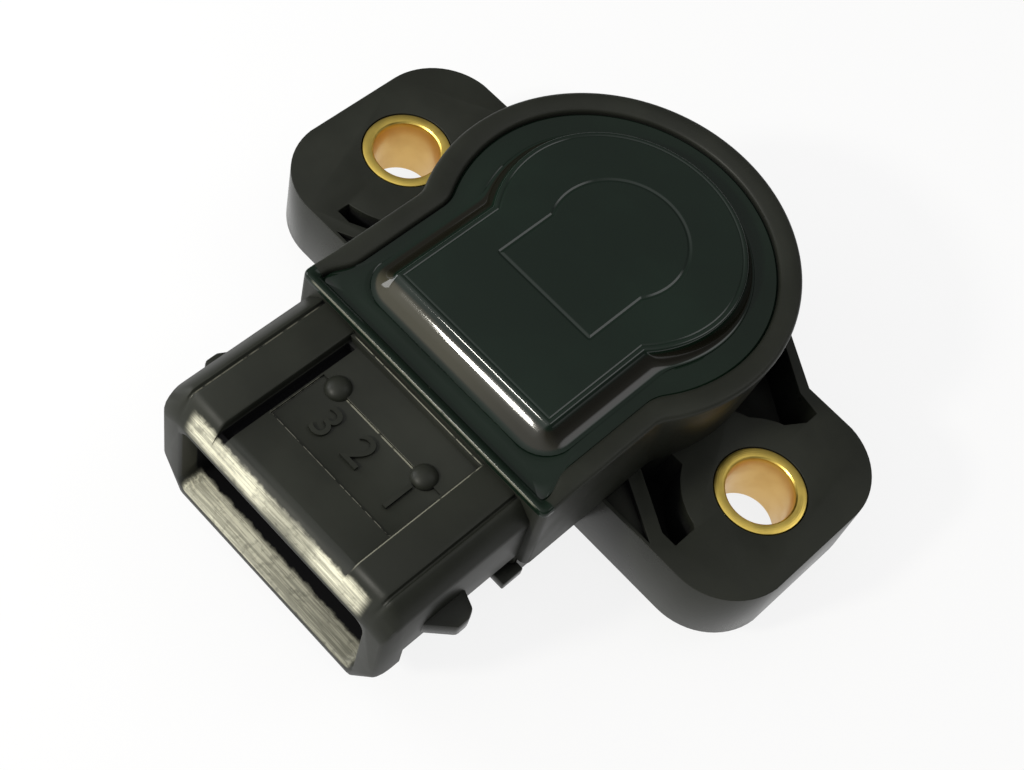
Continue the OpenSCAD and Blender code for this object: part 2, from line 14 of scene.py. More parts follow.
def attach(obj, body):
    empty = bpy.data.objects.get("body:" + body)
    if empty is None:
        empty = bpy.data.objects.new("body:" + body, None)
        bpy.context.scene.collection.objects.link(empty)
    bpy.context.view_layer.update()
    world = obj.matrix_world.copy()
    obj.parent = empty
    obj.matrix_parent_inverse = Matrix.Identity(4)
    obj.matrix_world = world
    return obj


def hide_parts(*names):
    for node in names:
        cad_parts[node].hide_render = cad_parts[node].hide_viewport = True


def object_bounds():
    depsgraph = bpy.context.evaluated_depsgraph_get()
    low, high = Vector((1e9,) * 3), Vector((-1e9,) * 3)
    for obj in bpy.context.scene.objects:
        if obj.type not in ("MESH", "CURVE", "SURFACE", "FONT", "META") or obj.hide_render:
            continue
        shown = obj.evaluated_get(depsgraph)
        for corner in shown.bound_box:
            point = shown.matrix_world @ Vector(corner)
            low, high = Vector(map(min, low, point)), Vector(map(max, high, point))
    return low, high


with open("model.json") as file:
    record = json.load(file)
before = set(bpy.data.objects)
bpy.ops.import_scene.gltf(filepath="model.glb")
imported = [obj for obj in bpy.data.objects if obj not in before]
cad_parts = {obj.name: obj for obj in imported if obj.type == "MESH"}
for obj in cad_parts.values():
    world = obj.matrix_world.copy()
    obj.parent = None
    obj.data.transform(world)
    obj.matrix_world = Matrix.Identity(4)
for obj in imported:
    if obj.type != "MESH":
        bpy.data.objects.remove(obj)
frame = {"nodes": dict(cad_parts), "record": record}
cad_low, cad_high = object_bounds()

bl_info = {
    "name": "Throttle Position Sensor",
    "version": (1, 0, 0),
    "blender": (4, 5, 0),
    "location": "View3D > Sidebar > Sensor",
    "description": "Models a potted rotary sensor with two bushed ears and a plug socket",
    "category": "Object",
}

MM = 0.001
HOLES = next(m for m in frame["record"]["mounts"] if m["name"] == "fixing_holes")
HOLE_X = HOLES["dims"]["spacing_x_mm"] / 2 * MM
BODY = "housing_body"

# The camera stands where the photograph was taken from
CAMERA_PLACE = (0.032956, -0.064410, 0.112017)
CAMERA_TURN = (29.901387, -9.780268, 45.836409)
CAMERA_LENS = 60.183
SENSOR_WIDTH = 36.0

# The light comes from the front left
LIGHT_SIDE = (-0.2, -0.45, 0.87)
LAMP_SIDE = (-0.25, -0.78, 0.57)
# A patch of sky at the back right that the right flank of the cover mirrors
BACK_SIDE = (0.36, 0.52, 0.77)
# Lights in the sky: way there, cosines where each starts and is full, level off and on it
SKY = (((0.0, 0.0, 1.0), 0.3, 0.8, 0.12, 0.3), (LIGHT_SIDE, 0.5, 0.95, 0.0, 0.68),
       (LAMP_SIDE, 0.9, 0.995, 0.0, 0.35), (BACK_SIDE, 0.955, 0.99, 0.0, 1.8))
# Cosines from straight down between which shine meets the white of the horizon
HORIZON = (-0.16, -0.02)
# Name, way there, distance, side of the square, power and tint of each lamp
LAMPS = (("front_lamp", LAMP_SIDE, 0.42, 0.045, 0.95, (1.0, 0.97, 0.88)),
         ("side_lamp", (-0.8, -0.5, 0.35), 0.11, 0.05, 0.045, (0.97, 0.98, 1.0)))
LAMP_AIM = (0.0, -0.004, 0.01)

FLOOR_SIZE = 1.2
FLOOR_GAP = 0.01
FLOOR_GREY = (0.85, 0.85, 0.85)
FLOOR_GLOW = 0.85


# Settings


def length(name, text, value):
    return FloatProperty(name=name, description=text, default=value * MM, unit="LENGTH",
                         subtype="DISTANCE", precision=5)


def colour(name, text, value):
    return FloatVectorProperty(name=name, description=text, default=value, subtype="COLOR",
                               size=3, min=0.0, max=1.0)


class SensorSizes(bpy.types.PropertyGroup):
    """Sizes that shape the visible pieces."""

    body_radius: length("Body radius", "Radius of the round end at the rim", 14.15)
    body_half_width: length("Body half width", "Half the width of the straight end", 12.0)
    body_front: length("Body front", "Rotor axis to the front wall", 17.4)
    key_offset: length("Round end offset", "Offset of the round end from the axis", 1.45)
    rim_height: length("Rim height", "Rim above the mounting face", 13.6)
    cover_height: length("Cover height", "Cover face above the mounting face", 14.2)
    ear_thickness: length("Ear thickness", "Thickness of the fixing ears", 6.0)
    collar_half_width: length("Collar half width", "Half the width of the plug collar", 11.2)
    collar_top: length("Collar top", "Collar top above the mounting face", 12.9)
    collar_front: length("Collar mouth", "Rotor axis to the mouth of the socket", 30.2)
    bore_radius: length("Bushing bore", "Radius of the bore of the brass bushings", 2.6)
    bushing_radius: length("Bushing radius", "Outside radius of the brass bushings", 3.5)


class SensorFinishes(bpy.types.PropertyGroup):
    """Colours of the main finishes."""

    moulding: colour("Moulding", "Black moulded plastic", (0.0160, 0.0174, 0.0130))
    cover: colour("Cover", "Glossy cover plate", (0.0045, 0.0115, 0.0068))
    resin: colour("Resin", "Potting resin", (0.0045, 0.0110, 0.0064))
    brass: colour("Brass", "Turned brass of the bushings", (0.76, 0.56, 0.13))
    # Pale wear round the mouth, which on the lip and sill is also painted highlight and painted
    # light
    wear_and_highlight: colour("Worn edge", "Rubbed plastic round the mouth", (0.76, 0.74, 0.58))


def sizes():
    return bpy.context.scene.sensor_sizes


def finishes():
    return bpy.context.scene.sensor_finishes


# Outlines and lofts

# Points along the round end, each corner, the front and each side of a keyhole plan
ROUND_POINTS, CORNER_POINTS, FRONT_POINTS, SIDE_POINTS = 112, 8, 16, 4
FLARE_LENGTH = 2.6
TURN_STEPS = 96
WELD = 1e-7
CARVED_WELD = 2e-6


def arc(centre_x, centre_y, radius, start, end, count):
    """Points of an arc from start towards end, without the last one."""
    steps = [start + (end - start) * i / count for i in range(count)]
    return [(centre_x + radius * cos(a), centre_y + radius * sin(a)) for a in steps]


def line(a, b, count):
    """Points from a towards b, without b."""
    return [(a[0] + (b[0] - a[0]) * i / count, a[1] + (b[1] - a[1]) * i / count)
            for i in range(count)]


def key_outline(radius, half_width, front, corner, fillet, centre_y, flare=0.0, squash=1.0):
    """Plan of the keyhole form, anticlockwise from the right neck: round end, straight end.
    A flare widens the straight end towards its corners, a squash flattens the far end."""
    neck_x = half_width + fillet
    neck_y = centre_y - sqrt((radius + fillet) ** 2 - neck_x ** 2)
    neck = atan2(neck_y - centre_y, neck_x)
    wide = half_width + flare
    corner_x, corner_y = wide - corner, corner - front
    start_y = corner_y + min(FLARE_LENGTH, (neck_y - corner_y) / 2)
    side = line((half_width, neck_y), (half_width, start_y), SIDE_POINTS)
    for i in range(CORNER_POINTS):
        t = i / CORNER_POINTS
        side.append((half_width + flare * t * t * (3 - 2 * t), start_y + (corner_y - start_y) * t))
    side.append((wide, corner_y))
    points = arc(0, centre_y, radius, neck, pi - neck, ROUND_POINTS)
    points = [(x, y if y < centre_y else centre_y + (y - centre_y) * squash) for x, y in points]
    points += arc(-neck_x, neck_y, fillet, -neck, 0, CORNER_POINTS)
    points += [(-x, y) for x, y in side[:-1]]
    points += arc(-corner_x, corner_y, corner, pi, 1.5 * pi, CORNER_POINTS)
    points += line((-corner_x, -front), (corner_x, -front), FRONT_POINTS)
    points += arc(corner_x, corner_y, corner, 1.5 * pi, 2 * pi, CORNER_POINTS)
    points += side[:0:-1]
    points += arc(neck_x, neck_y, fillet, pi, pi + neck, CORNER_POINTS)
    return points


def round_outline(radius, centre_y, like):
    """A circle with a point for each point of another outline, at the same bearing."""
    angles = [atan2(y - centre_y, x) for x, y in like]
    return [(radius * cos(a), centre_y + radius * sin(a)) for a in angles]


def at_height(outline, z):
    return [(x * MM, y * MM, z * MM) for x, y in outline]


def across(section, y):
    return [(x * MM, y * MM, z * MM) for x, z in section]


def loft(bm, rings, closed=False, capped=False):
    """Extrudes the first ring of points through each of the others in turn."""
    if closed:
        rings = rings + rings[:1]
    verts = [bm.verts.new(p) for p in rings[0]]
    edges = [bm.edges.new((v, verts[i - 1])) for i, v in enumerate(verts)]
    first = edges
    for ring in rings[1:]:
        grown = bmesh.ops.extrude_edge_only(bm, edges=edges)["geom"]
        copies = {tuple(v.co): v for v in grown if isinstance(v, bmesh.types.BMVert)}
        verts = [copies[tuple(v.co)] for v in verts]
        for vert, point in zip(verts, ring):
            vert.co = point
        edges = [bm.edges.get((v, verts[i - 1])) for i, v in enumerate(verts)]
    if capped:
        bmesh.ops.contextual_create(bm, geom=first)
        bmesh.ops.contextual_create(bm, geom=edges)


def add_object(name, data):
    """A new object at the origin."""
    obj = bpy.data.objects.new(name, data)
    bpy.context.scene.collection.objects.link(obj)
    return obj


def discard(obj):
    data = obj.data
    bpy.data.objects.remove(obj)
    bpy.data.meshes.remove(data)


def smooth_faces(bm, sharp):
    """Smooth faces, with the edges above the sharp angle kept crisp."""
    for face in bm.faces:
        face.smooth = True
    for edge in bm.edges:
        edge.smooth = not edge.is_manifold or edge.calc_face_angle() < radians(sharp)


def finish_mesh(bm, name, sharp=32.0):
    """Welds the mesh, turns its faces outwards and makes it an object."""
    bmesh.ops.remove_doubles(bm, verts=bm.verts, dist=WELD)
    bmesh.ops.recalc_face_normals(bm, faces=bm.faces)
    smooth_faces(bm, sharp)
    mesh = bpy.data.meshes.new(name)
    bm.to_mesh(mesh)
    bm.free()
    return add_object(name, mesh)


def lofted(name, rings, **ends):
    """An object from a loft through rings of points."""
    bm = bmesh.new()
    loft(bm, rings, **ends)
    return finish_mesh(bm, name)


def prism(name, outline, z0, z1):
    """A solid of one plan outline between two heights."""
    return lofted(name, [at_height(outline, z0), at_height(outline, z1)], capped=True)


def box(name, low, high):
    bm = bmesh.new()
    bmesh.ops.create_cube(bm, size=1.0)
    low, high = Vector(low), Vector(high)
    bmesh.ops.scale(bm, vec=tuple(abs(v) * MM for v in high - low), verts=bm.verts)
    bmesh.ops.translate(bm, vec=(low + high) / 2 * MM, verts=bm.verts)
    return finish_mesh(bm, name)


def turned(name, profile, x):
    """A turned piece from a closed profile of radius and height, with its axis at x in metres."""
    bm = bmesh.new()
    verts = [bm.verts.new((r * MM, 0, z * MM)) for r, z in profile]
    edges = [bm.edges.new((v, verts[i - 1])) for i, v in enumerate(verts)]
    bmesh.ops.spin(bm, geom=verts + edges, cent=(0, 0, 0), axis=(0, 0, 1), angle=2 * pi,
                   steps=TURN_STEPS, use_merge=True)
    bmesh.ops.translate(bm, vec=(x, 0, 0), verts=bm.verts)
    return finish_mesh(bm, name, sharp=30.0)


def mirrored(obj, name):
    """A copy of a piece on the other side."""
    copy = add_object(name, obj.data.copy())
    copy.data.name = name
    bm = bmesh.new()
    bm.from_mesh(copy.data)
    bmesh.ops.transform(bm, matrix=Matrix.Scale(-1, 4, (1, 0, 0)), verts=bm.verts)
    bmesh.ops.reverse_faces(bm, faces=bm.faces)
    bm.to_mesh(copy.data)
    bm.free()
    return copy


def carve(obj, cutters, operation="DIFFERENCE"):
    """Cuts the cutters out of obj, or joins them to it, and removes them."""
    for cutter in cutters:
        cut = obj.modifiers.new("cut", "BOOLEAN")
        cut.operation, cut.object, cut.solver = operation, cutter, "EXACT"
    bpy.context.view_layer.update()
    graph = bpy.context.evaluated_depsgraph_get()
    mesh = bpy.data.meshes.new_from_object(obj.evaluated_get(graph))
    obj.modifiers.clear()
    old, obj.data = obj.data, mesh
    bpy.data.meshes.remove(old)
    mesh.name = obj.name
    for cutter in cutters:
        discard(cutter)


def round_edges(obj, width, segments=3, sharp=28.0):
    """Merges a carved mesh and rounds its edges as a moulding's are."""
    bm = bmesh.new()
    bm.from_mesh(obj.data)
    bmesh.ops.remove_doubles(bm, verts=bm.verts, dist=CARVED_WELD)
    bmesh.ops.dissolve_limit(bm, angle_limit=radians(1.0), verts=bm.verts, edges=bm.edges)
    edges = [e for e in bm.edges if e.is_manifold and e.calc_face_angle() > radians(sharp)]
    bmesh.ops.bevel(bm, geom=edges, offset=width * MM, offset_type="OFFSET", segments=segments,
                    profile=0.5, affect="EDGES", clamp_overlap=True, material=-1)
    smooth_faces(bm, 35.0)
    bm.to_mesh(obj.data)
    bm.free()


def place(obj, finish, stands_for=()):
    """Gives a piece its finish and body, and hides the CAD nodes that it stands for."""
    obj.data.materials.clear()
    obj.data.materials.append(bpy.data.materials[finish])
    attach(obj, BODY)
    if stands_for:
        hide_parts(*stands_for)


def place_moulding(obj, finish="black_moulding"):
    """Places a piece that stands for the CAD housing."""
    place(obj, finish, ("housing",))


# Shader effects


def new_group(name, inputs, outputs):
    """A group with plain values in and out."""
    group = bpy.data.node_groups.new(name, "ShaderNodeTree")
    kind = "NodeSocketFloat"
    for label, value in inputs.items():
        socket = group.interface.new_socket(label, in_out="INPUT", socket_type=kind)
        socket.default_value = value
    for label in outputs:
        group.interface.new_socket(label, in_out="OUTPUT", socket_type=kind)
    return group, group.nodes.new("NodeGroupInput"), group.nodes.new("NodeGroupOutput")


def feed(tree, socket, value):
    """Links a socket to an input, or writes a plain value into it."""
    if isinstance(value, bpy.types.NodeSocket):
        tree.links.new(value, socket)
    else:
        socket.default_value = value


def math_node(tree, operation, a, b=0.5, clamp=False):
    """A math node whose inputs are sockets or plain numbers."""
    node = tree.nodes.new("ShaderNodeMath")
    node.operation, node.use_clamp = operation, clamp
    feed(tree, node.inputs[0], a)
    feed(tree, node.inputs[1], b)
    return node.outputs[0]


def product(tree, *factors):
    """The product of several masks."""
    result = factors[0]
    for factor in factors[1:]:
        result = math_node(tree, "MULTIPLY", result, factor, clamp=True)
    return result


def ramp(tree, source, low, high, to_low=0.0, to_high=1.0):
    node = tree.nodes.new("ShaderNodeMapRange")
    node.interpolation_type = "SMOOTHSTEP"
    for label, value in (("From Min", low), ("From Max", high), ("To Min", to_low),
                         ("To Max", to_high)):
        node.inputs[label].default_value = value
    tree.links.new(source, node.inputs["Value"])
    return node.outputs["Result"]


def fade(tree, source, low, high, to_low=0.0, to_high=1.0):
    """A ramp between two places in millimetres."""
    return ramp(tree, source, low * MM, high * MM, to_low, to_high)


def between(tree, mask, off, on):
    """A value that goes from off to on with a mask."""
    return ramp(tree, mask, 0.0, 1.0, off, on)


def mix_colour(tree, mask, first, second):
    node = tree.nodes.new("ShaderNodeMix")
    node.data_type = "RGBA"
    for label, value in (("Factor", mask), ("A", first), ("B", second)):
        feed(tree, node.inputs[label], value)
    return node.outputs["Result"]


def noise_node(tree, vector, scale, detail, roughness=0.55):
    node = tree.nodes.new("ShaderNodeTexNoise")
    node.inputs["Detail"].default_value = detail
    node.inputs["Roughness"].default_value = roughness
    feed(tree, node.inputs["Vector"], vector)
    feed(tree, node.inputs["Scale"], scale)
    return node.outputs["Fac"]


def object_place(tree):
    return tree.nodes.new("ShaderNodeTexCoord").outputs["Object"]


def object_axes(tree):
    """X, Y and Z of the place on the piece."""
    parts = tree.nodes.new("ShaderNodeSeparateXYZ")
    tree.links.new(object_place(tree), parts.inputs[0])
    return [parts.outputs[axis] for axis in "XYZ"]


def upward_part(tree):
    """One on a top, zero on a wall."""
    normal = tree.nodes.new("ShaderNodeSeparateXYZ")
    tree.links.new(tree.nodes.new("ShaderNodeNewGeometry").outputs["Normal"], normal.inputs[0])
    return normal.outputs["Z"]


def grain_group():
    """Fine moulded grain with slow patches: a height and a mask of the patches."""
    group, inside, outside = new_group(
        "moulded_grain", {"Scale": 4000.0, "Patch Scale": 160.0}, ("Height", "Patches"))
    fine = noise_node(group, object_place(group), inside.outputs["Scale"], 2.0)
    slow = noise_node(group, object_place(group), inside.outputs["Patch Scale"], 4.0)
    group.links.new(fine, outside.inputs["Height"])
    group.links.new(ramp(group, slow, 0.35, 0.7), outside.inputs["Patches"])
    return group


def scratch_group():
    """Fine streaks along X, as a mask."""
    group, inside, outside = new_group(
        "long_streaks", {"Along": 120.0, "Across": 3200.0}, ("Streaks",))
    joined = group.nodes.new("ShaderNodeCombineXYZ")
    for axis, part, label in zip("XYZ", object_axes(group), ("Along", "Across", "Across")):
        stretched = math_node(group, "MULTIPLY", part, inside.outputs[label])
        group.links.new(stretched, joined.inputs[axis])
    streak = noise_node(group, joined.outputs[0], 1.0, 5.0, 0.7)
    group.links.new(ramp(group, streak, 0.38, 0.66), outside.inputs["Streaks"])
    return group


# Finishes

# Painted shade for deep corners, the inside of the socket and the trench, and how wide a corner is
PAINTED_SHADE = (0.0005, 0.0005, 0.001)
CORNER_REACH = 5.0
MOULDING_IOR = 1.3
# Gloss of the cover and the resin, and the browner flank of the cover below a dark band at the
# crest, partly its tone and partly painted reflection, with a painted sheen towards the front
COVER_ROUGH, RESIN_ROUGH, GLOSS_SPECULAR = 0.055, 0.07, 0.42
FLANK = (0.009, 0.0085, 0.0055)
FLANK_PAINTED_SHEEN = 5.0
# Tarnished bore of the bushings, and their turning marks in radians per metre
TARNISH = (0.66, 0.42, 0.14)
TURNING_MARKS = 46000.0

# Finish, colour, roughness, metal, specular, strength of the patches, and the CAD nodes that
# wear it
PLAIN_FINISHES = (
    ("sintered_bronze", (0.45, 0.27, 0.12), 0.5, 1.0, 0.5, 0.12, ("bearing_bush",)),
    ("seal_rubber", (0.018, 0.018, 0.018), 0.6, 0.0, 0.3, 0.12, ("pilot_ring", "rotor_seal")),
    ("element_board", (0.72, 0.68, 0.58), 0.6, 0.0, 0.5, 0.05, ("element_board",)),
    ("carbon_track", (0.02, 0.02, 0.022), 0.4, 0.0, 0.5, 0.12, ("resistive_track",)),
    ("silver_track", (0.62, 0.61, 0.57), 0.4, 1.0, 0.5, 0.12, ("collector_track",)),
    ("tinned_blade", (0.62, 0.60, 0.55), 0.28, 1.0, 0.5, 0.08,
     ("terminal_1", "terminal_2", "terminal_3")),
    ("bronze_leaf", (0.70, 0.48, 0.22), 0.3, 1.0, 0.5, 0.12,
     ("clip_1", "clip_2", "clip_3", "wiper")),
    ("rotor_nylon", (0.50, 0.47, 0.38), 0.45, 0.0, 0.5, 0.06, ("rotor",)),
    ("spring_steel", (0.42, 0.43, 0.45), 0.3, 1.0, 0.5, 0.12,
     ("drive_clip", "snap_ring", "return_spring")),
    ("washer_nylon", (0.72, 0.70, 0.64), 0.45, 0.0, 0.5, 0.05, ("thrust_washer",)))

# Zones of the collar's finish: what is read and the millimetres between which each fades in.
# Back is behind the mouth, ragged the same with a broken edge, ahead in front of the body
# The socket and trench zones are painted shade; the lip and sill zones are pale wear that is partly
# painted highlight
ZONES = {
    "lip": (("z", 6.0, 7.0), ("wide", 8.9, 8.0), ("ragged", 1.25, 0.95)),
    "sill": (("z", 5.0, 4.0), ("wide", 9.0, 8.6), ("ragged", 2.2, 1.85)),
    "dimmer_middle": (("x", -3.5, 1.0), ("x", 4.4, 3.0)),
    "socket": (("ahead", 0.2, 0.4), ("back", 1.35, 1.7), ("wide", 9.3, 9.15), ("z", 9.95, 9.85),
               ("z", 1.6, 1.75)),
    "trench": (("ahead", 0.2, 0.4), ("x", -5.62, -5.68), ("x", -6.42, -6.36),
               ("z", 12.15, 12.05), ("z", 11.2, 11.3)),
    "sealed": (("z", 13.0, 13.1), ("ahead", -1.1, -0.9))}
RAGGED_EDGE = 0.5
# Painted highlight lines, pale and broken, where the collar steps and along the front of the rim:
# axis across the line, place there and half the width, ends along the other axis, strength, and
# noise below which it breaks
HIGHLIGHT_LINES = (
    ("Y", -20.95, 0.08, -3.2, 3.5, 0.24, 0.32), ("Y", -25.46, 0.05, -5.4, 6.0, 0.34, 0.46),
    ("X", -5.5, 0.04, -25.5, -21.0, 0.1, 0.4), ("X", 6.5, 0.06, -28.9, -17.8, 0.22, 0.33),
    ("Y", -17.34, 0.05, -10.9, 11.0, 0.2, 0.34), ("Y", -17.58, 0.05, -6.0, 6.3, 0.3, 0.36),
    ("X", -9.5, 0.05, -28.9, -18.0, 0.14, 0.4))
LINE_END = 0.3


def new_material(name):
    material = bpy.data.materials.new(name)
    material.use_nodes = True
    tree = material.node_tree
    return material, tree, tree.nodes["Principled BSDF"]


def add_group(tree, group, **values):
    node = tree.nodes.new("ShaderNodeGroup")
    node.node_tree = group
    for label, value in values.items():
        node.inputs[label.replace("_", " ")].default_value = value
    return node


def bump(tree, shader, height, strength, distance):
    node = tree.nodes.new("ShaderNodeBump")
    node.inputs["Strength"].default_value = strength
    node.inputs["Distance"].default_value = distance
    tree.links.new(height, node.inputs["Height"])
    tree.links.new(node.outputs["Normal"], shader.inputs["Normal"])


def wear(tree, shader, base, rough):
    """Links a colour and a roughness to the shader."""
    tree.links.new(base, shader.inputs["Base Color"])
    tree.links.new(rough, shader.inputs["Roughness"])


def opaque(rgb, factor=1.0):
    return tuple(min(1.0, c * factor) for c in rgb) + (1.0,)


def patchy(tree, patches, rgb, dark, light):
    """A colour that slow patches make darker and lighter."""
    return mix_colour(tree, patches, opaque(rgb, dark), opaque(rgb, light))


def plain_finish(name, rgb, rough, metal, specular, patch, grain):
    """A finish with slow patches of colour and roughness and a fine grain."""
    material, tree, shader = new_material(name)
    node = add_group(tree, grain, Scale=4000.0, Patch_Scale=170.0)
    patches = node.outputs["Patches"]
    wear(tree, shader, patchy(tree, patches, rgb, 1 - patch, 1 + patch),
         between(tree, patches, rough - 0.04, rough + 0.05))
    shader.inputs["Metallic"].default_value = metal
    shader.inputs["Specular IOR Level"].default_value = specular
    bump(tree, shader, node.outputs["Height"], 0.5, 1e-5)
    return material


def moulding_finish(name, grain, streaks=None):
    """Black plastic with painted shade in deep corners. Without streaks its walls are smoother than
    its tops. With them it is pale round the mouth of the socket, partly rubbed wear and partly
    painted highlight, has painted highlight lines along the steps of the collar, painted shade
    inside the socket and the trench, and is wet with resin at the front of the rim."""
    colours = finishes()
    _, tree, shader = new_material(name)
    node = add_group(tree, grain, Scale=3600.0, Patch_Scale=130.0)
    base = patchy(tree, node.outputs["Patches"], colours.moulding, 0.85, 1.2)
    rough = between(tree, node.outputs["Patches"], 0.43, 0.52)
    # Painted shade: the colour darkens where corners are deep
    corners = tree.nodes.new("ShaderNodeAmbientOcclusion")
    corners.samples = 8
    corners.inputs["Distance"].default_value = CORNER_REACH * MM
    shade = ramp(tree, corners.outputs["AO"], 0.55, 0.2)
    base = mix_colour(tree, shade, base, opaque(PAINTED_SHADE))
    if not streaks:
        steep = math_node(tree, "ABSOLUTE", upward_part(tree))
        rough = math_node(tree, "MULTIPLY", rough, ramp(tree, steep, 0.1, 0.4, 0.6, 1.0))
    rough = math_node(tree, "MAXIMUM", rough, shade)
    if streaks:
        rubbed_and_highlit, painted_shade_zones, sealed = mouth_masks(tree, streaks)
        base = mix_colour(tree, sealed, base, opaque(colours.resin))
        # Painted shade inside the socket and along the trench
        base = mix_colour(tree, painted_shade_zones, base, opaque(PAINTED_SHADE))
        base = mix_colour(tree, rubbed_and_highlit, base, opaque(colours.wear_and_highlight))
        rough = math_node(tree, "MAXIMUM", rough, painted_shade_zones)
        rough = math_node(tree, "MINIMUM", rough, between(tree, sealed, 1.0, 0.2))
    wear(tree, shader, base, rough)
    shader.inputs["IOR"].default_value = MOULDING_IOR
    bump(tree, shader, node.outputs["Height"], 0.35, 1.2e-5)


def mouth_masks(tree, streaks):
    """Masks of the lip and sill, which are rubbed wear and partly painted highlight, of the painted
    highlight lines at the steps, of the painted shade inside the socket and the trench, and of the
    front of the rim, which the resin runs over."""
    marks = add_group(tree, streaks, Along=240.0, Across=5200.0).outputs["Streaks"]
    spots = noise_node(tree, object_place(tree), 1500.0, 5.0)
    rise = upward_part(tree)
    x, y, z = object_axes(tree)
    back = math_node(tree, "ADD", y, sizes().collar_front)
    uneven = math_node(tree, "MULTIPLY", spots, RAGGED_EDGE * MM)
    read = {"x": x, "z": z, "wide": math_node(tree, "ABSOLUTE", x), "back": back,
            "ragged": math_node(tree, "ADD", back, uneven),
            "ahead": math_node(tree, "SUBTRACT", -sizes().body_front, y)}
    zones = {name: product(tree, *(fade(tree, read[what], low, high) for what, low, high in edges))
             for name, edges in ZONES.items()}
    # Pale streaks on upward faces: rubbed wear that is also painted highlight
    wear_and_highlight = product(tree, ramp(tree, rise, 0.12, 0.42), between(tree, marks, 0.5, 1.0),
                   ramp(tree, spots, 0.3, 0.5, 0.6, 1.0))
    lip = product(tree, wear_and_highlight, zones["lip"], between(tree, zones["dimmer_middle"], 1.0, 0.55))
    # The sill is painted light, paler to the left where the lamp reaches into the socket
    sill = product(tree, wear_and_highlight, zones["sill"], fade(tree, x, -9.0, 9.0, 0.95, 0.3))
    # Painted highlights along the steps of the collar and the front of the rim
    steps = product(tree, highlight_lines(tree, x, y, z, spots), ramp(tree, rise, 0.2, 0.5))
    rubbed_and_highlit = math_node(tree, "MAXIMUM", math_node(tree, "MAXIMUM", lip, sill), steps)
    painted_shade_zones = math_node(tree, "MAXIMUM", zones["socket"], zones["trench"])
    return rubbed_and_highlit, painted_shade_zones, zones["sealed"]


def highlight_lines(tree, x, y, z, spots):
    """A mask of painted highlights: thin, broken lines near the top of the collar."""
    result = None
    for axis, at, half, low, high, amount, broken in HIGHLIGHT_LINES:
        over, along = (x, y) if axis == "X" else (y, x)
        off = math_node(tree, "ABSOLUTE", math_node(tree, "SUBTRACT", over, at * MM))
        mask = product(
            tree, fade(tree, off, half, half * 0.5, 0.0, amount),
            fade(tree, along, low - LINE_END, low + LINE_END),
            fade(tree, along, high + LINE_END, high - LINE_END),
            ramp(tree, spots, broken - 0.05, broken + 0.08), fade(tree, z, 11.7, 11.8))
        result = math_node(tree, "MAXIMUM", result, mask) if result else mask
    return result


def gloss_finish(name, rgb, grain, rough, flank=None):
    """Smooth glossy plastic or resin with a faint unevenness. The flank of the cover is browner
    below a dark band at the crest, partly its tone and partly painted reflection, with a painted
    sheen along the front."""
    _, tree, shader = new_material(name)
    patches = add_group(tree, grain, Scale=2600.0, Patch_Scale=90.0).outputs["Patches"]
    base = patchy(tree, patches, rgb, 0.85, 1.2)
    if flank:
        crest = sizes().cover_height / MM
        x, y, z = object_axes(tree)
        # Browner lower flank; together with the dark band left at the crest it is partly painted
        # reflection
        slope = product(tree, fade(tree, z, COVER_BASE + 0.02, COVER_BASE + 0.08),
                        fade(tree, z, crest - 0.25, crest - 0.5))
        # Painted sheen around the highlight, towards the front left
        glow = product(tree, slope, fade(tree, y, -12.4, -13.4),
                       fade(tree, x, 8.0, -2.0, 0.25, 1.0))
        base = mix_colour(tree, slope, base, opaque(flank))
        base = mix_colour(tree, glow, base, opaque(flank, FLANK_PAINTED_SHEEN))
    wear(tree, shader, base, between(tree, patches, rough, rough + 0.05))
    shader.inputs["Specular IOR Level"].default_value = GLOSS_SPECULAR
    bump(tree, shader, patches, 0.15, 2e-5)


def brass_finish(name, rgb, grain):
    """Turned brass: fine rings on the end faces and a darker, tarnished bore."""
    thick, bore = sizes().ear_thickness / MM, sizes().bore_radius / MM
    _, tree, shader = new_material(name)
    patches = add_group(tree, grain, Scale=2600.0, Patch_Scale=420.0).outputs["Patches"]
    x, y, z = object_axes(tree)
    off = math_node(tree, "SUBTRACT", math_node(tree, "ABSOLUTE", x), HOLE_X)
    squares = [math_node(tree, "MULTIPLY", side, side) for side in (off, y)]
    radius = math_node(tree, "SQRT", math_node(tree, "ADD", *squares))
    rings = math_node(tree, "SINE", math_node(tree, "MULTIPLY", radius, TURNING_MARKS))
    inside = product(tree, fade(tree, z, thick - 0.1, thick - 0.7),
                     fade(tree, radius, bore + 0.26, bore + 0.06))
    base = mix_colour(tree, inside, patchy(tree, patches, rgb, 0.9, 1.05), opaque(TARNISH))
    wear(tree, shader, base, between(tree, patches, 0.3, 0.42))
    shader.inputs["Metallic"].default_value = 1.0
    bump(tree, shader, rings, 0.2, 6e-6)


def dress_nodes(material, nodes):
    """Gives the CAD nodes that still show their finish."""
    for node in nodes:
        obj = frame["nodes"][node]
        if not obj.material_slots:
            obj.data.materials.append(material)
        for entry in obj.material_slots:
            entry.material = material


# Body and ears

WALL_CORNER, WALL_FILLET = 0.5, 2.2
WALL_TAPER, TAPER_TOP = 1.2, 13.2
WELL_FLOOR = 8.8
RIM_WIDTH = 1.5
# Change of each measure of the wall's plan for each millimetre in over the rim
RIM_CHANGE = (-1.2, -1.13, -0.57, -0.12, 0.6, 0.3, 0.5, -0.026)
# Distance in from the outer wall and drop below the rim, from the wall over the rim
RIM_PROFILE = ((0.0, 0.42), (0.02, 0.27), (0.08, 0.13), (0.18, 0.04), (0.32, 0.0), (0.62, 0.0),
               (0.8, 0.03), (1.0, 0.08), (1.2, 0.15), (1.36, 0.21), (1.44, 0.29), (1.49, 0.45),
               (RIM_WIDTH, 0.68))
